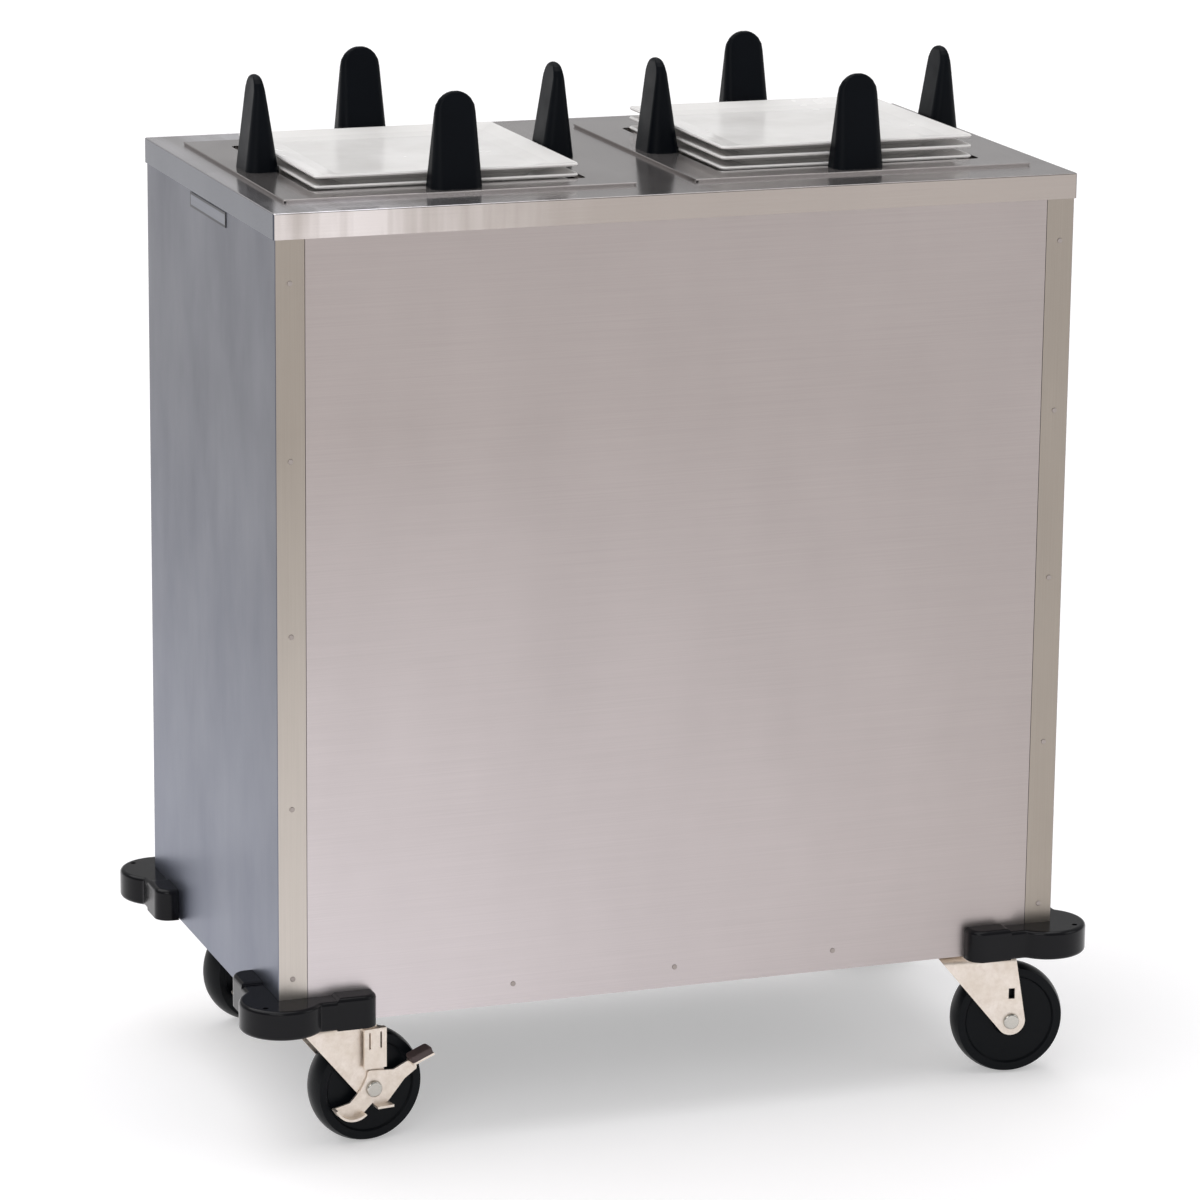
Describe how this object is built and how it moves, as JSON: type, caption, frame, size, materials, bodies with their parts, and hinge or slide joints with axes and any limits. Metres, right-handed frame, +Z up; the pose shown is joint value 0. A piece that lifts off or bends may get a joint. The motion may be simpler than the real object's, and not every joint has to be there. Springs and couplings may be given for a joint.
{
  "type": "mobile plate dispenser",
  "caption": "Steel cabinet on swivel casters with two sprung wells that lift stacked square plates between tapered guides.",
  "frame": {"origin": "on the floor under the middle of the cabinet", "axes": "+Z up, +X to the right along the width, -Y towards the front panel"},
  "size_m": [0.9612, 0.5762, 1.1127],
  "materials": {
    "deck_steel": "brushed, reflective",
    "panel_steel": "fine brushed",
    "frame_steel": "plain mill",
    "fastener_steel": "satin",
    "nameplate": "satin, dark border",
    "guide_plastic": "satin",
    "slide_plastic": "plain",
    "spring_steel": "bright wire",
    "plate_glaze": "white glaze",
    "bumper_rubber": "gloss",
    "caster_steel": "pale zinc plate",
    "wheel_rubber": "satin",
    "pedal_rubber": "dark brown"
  },
  "bodies": {
    "cabinet": {"top_deck": "deck_steel", "front_panel": "panel_steel", "back_panel": "panel_steel", "left_side_panel": "panel_steel", "right_side_panel": "panel_steel", "base_frame": "frame_steel", "frame_uprights": "frame_steel", "panel_screws": "fastener_steel", "nameplate": "nameplate", "bumper_screws": "fastener_steel", "guide_screws": "fastener_steel", "caster_bolts": "fastener_steel", "unit_flange_left": "deck_steel", "unit_cage_left": "frame_steel", "springs_left": "spring_steel", "guide_left_front": "guide_plastic", "guide_left_back": "guide_plastic", "guide_left_inner": "guide_plastic", "guide_left_outer": "guide_plastic", "unit_flange_right": "deck_steel", "unit_cage_right": "frame_steel", "springs_right": "spring_steel", "guide_right_front": "guide_plastic", "guide_right_back": "guide_plastic", "guide_right_inner": "guide_plastic", "guide_right_outer": "guide_plastic", "bumper_front_left": "bumper_rubber", "caster_mount_front_left": "caster_steel", "bumper_front_right": "bumper_rubber", "caster_mount_front_right": "caster_steel", "bumper_rear_left": "bumper_rubber", "caster_mount_rear_left": "caster_steel", "bumper_rear_right": "bumper_rubber", "caster_mount_rear_right": "caster_steel"},
    "carrier_left": {"carrier_left": "frame_steel", "carrier_slides_left": "slide_plastic"},
    "stack_left": {"plates_left": "plate_glaze"},
    "top_left": {"top_plate_left": "plate_glaze"},
    "carrier_right": {"carrier_right": "frame_steel", "carrier_slides_right": "slide_plastic"},
    "stack_right": {"plates_right": "plate_glaze"},
    "top_right": {"top_plate_right": "plate_glaze"},
    "swivel_front_left": {"caster_fork_front_left": "caster_steel", "caster_axle_front_left": "caster_steel", "brake_bracket_front_left": "caster_steel"},
    "wheel_front_left": {"caster_wheel_front_left": "wheel_rubber"},
    "brake_front_left": {"brake_lever_front_left": "caster_steel", "brake_pedal_front_left": "pedal_rubber"},
    "swivel_front_right": {"caster_fork_front_right": "caster_steel", "caster_axle_front_right": "caster_steel"},
    "wheel_front_right": {"caster_wheel_front_right": "wheel_rubber"},
    "swivel_rear_left": {"caster_fork_rear_left": "caster_steel", "caster_axle_rear_left": "caster_steel", "brake_bracket_rear_left": "caster_steel"},
    "wheel_rear_left": {"caster_wheel_rear_left": "wheel_rubber"},
    "brake_rear_left": {"brake_lever_rear_left": "caster_steel", "brake_pedal_rear_left": "pedal_rubber"},
    "swivel_rear_right": {"caster_fork_rear_right": "caster_steel", "caster_axle_rear_right": "caster_steel"},
    "wheel_rear_right": {"caster_wheel_rear_right": "wheel_rubber"}
  },
  "joints": [
    {"name": "carrier_left_slide", "type": "slide", "parent": "cabinet", "child": "carrier_left", "axis": [0, 0, 1], "range_m": [-0.43, 0.11], "stiffness_N_per_m": 951, "springref_m": 0.1855, "deforming": ["springs_left"]},
    {"name": "stack_left_lift", "type": "slide", "parent": "carrier_left", "child": "stack_left", "axis": [0, 0, 1], "range_m": [0, 0.25]},
    {"name": "top_plate_left_lift", "type": "slide", "parent": "stack_left", "child": "top_left", "axis": [0, 0, 1], "range_m": [0, 0.2]},
    {"name": "carrier_right_slide", "type": "slide", "parent": "cabinet", "child": "carrier_right", "axis": [0, 0, 1], "range_m": [-0.43, 0.11], "stiffness_N_per_m": 951, "springref_m": 0.1855, "deforming": ["springs_right"]},
    {"name": "stack_right_lift", "type": "slide", "parent": "carrier_right", "child": "stack_right", "axis": [0, 0, 1], "range_m": [0, 0.25]},
    {"name": "top_plate_right_lift", "type": "slide", "parent": "stack_right", "child": "top_right", "axis": [0, 0, 1], "range_m": [0, 0.2]},
    {"name": "caster_swivel_front_left", "type": "hinge", "parent": "cabinet", "child": "swivel_front_left", "pos_m": [-0.37, -0.204, 0.1365], "axis": [0, 0, 1], "continuous": true},
    {"name": "wheel_spin_front_left", "type": "hinge", "parent": "swivel_front_left", "child": "wheel_front_left", "pos_m": [-0.33237, -0.19871, 0.0625], "axis": [-0.1392, 0.9903, 0], "continuous": true},
    {"name": "brake_lever_front_left_turn", "type": "hinge", "parent": "swivel_front_left", "child": "brake_front_left", "pos_m": [-0.33237, -0.19871, 0.0625], "axis": [-0.1392, 0.9903, 0], "range_deg": [0, 18]},
    {"name": "caster_swivel_front_right", "type": "hinge", "parent": "cabinet", "child": "swivel_front_right", "pos_m": [0.37, -0.204, 0.1365], "axis": [0, 0, 1], "continuous": true},
    {"name": "wheel_spin_front_right", "type": "hinge", "parent": "swivel_front_right", "child": "wheel_front_right", "pos_m": [0.40763, -0.20929, 0.0625], "axis": [0.1392, 0.9903, 0], "continuous": true},
    {"name": "caster_swivel_rear_left", "type": "hinge", "parent": "cabinet", "child": "swivel_rear_left", "pos_m": [-0.37, 0.204, 0.1365], "axis": [0, 0, 1], "continuous": true},
    {"name": "wheel_spin_rear_left", "type": "hinge", "parent": "swivel_rear_left", "child": "wheel_rear_left", "pos_m": [-0.33429, 0.217, 0.0625], "axis": [-0.342, 0.9397, 0], "continuous": true},
    {"name": "brake_lever_rear_left_turn", "type": "hinge", "parent": "swivel_rear_left", "child": "brake_rear_left", "pos_m": [-0.33429, 0.217, 0.0625], "axis": [-0.342, 0.9397, 0], "range_deg": [0, 18]},
    {"name": "caster_swivel_rear_right", "type": "hinge", "parent": "cabinet", "child": "swivel_rear_right", "pos_m": [0.37, 0.204, 0.1365], "axis": [0, 0, 1], "continuous": true},
    {"name": "wheel_spin_rear_right", "type": "hinge", "parent": "swivel_rear_right", "child": "wheel_rear_right", "pos_m": [0.40717, 0.1961, 0.0625], "axis": [0.2079, 0.9781, 0], "continuous": true}
  ]
}
